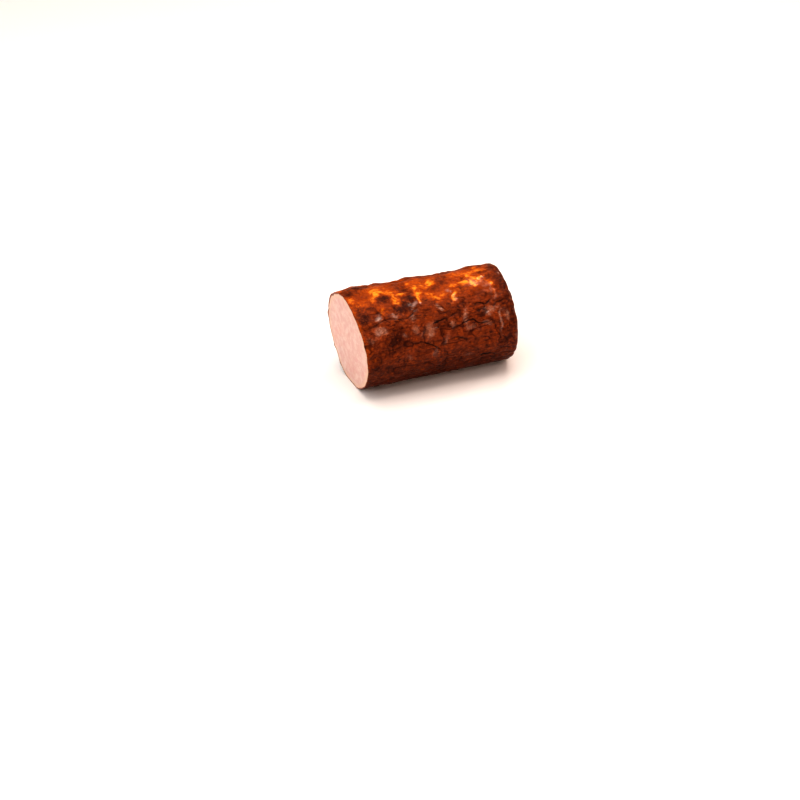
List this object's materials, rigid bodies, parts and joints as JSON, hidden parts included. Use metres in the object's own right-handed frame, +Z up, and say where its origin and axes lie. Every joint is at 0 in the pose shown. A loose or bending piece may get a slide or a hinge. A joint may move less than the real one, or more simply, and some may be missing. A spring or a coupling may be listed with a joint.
{
  "type": "grill sausage",
  "caption": "Thick piece of smoked grill sausage with a wrinkled glossy brown skin, a straight cut at one end and a blunt closed end at the other.",
  "frame": {"origin": "under the middle of the piece, at the height of the flat of its underside", "axes": "+X along the piece, from the cut to the closed end; +Y to the back; +Z up as it lies"},
  "size_m": [0.1042, 0.0588, 0.0584],
  "materials": {
    "smoked_skin": "glossy, wrinkled, mahogany brown smoked skin with amber patches; the cut end is matt pale pink meat"
  },
  "bodies": {
    "root": {"sausage": "smoked_skin"}
  },
  "joints": []
}
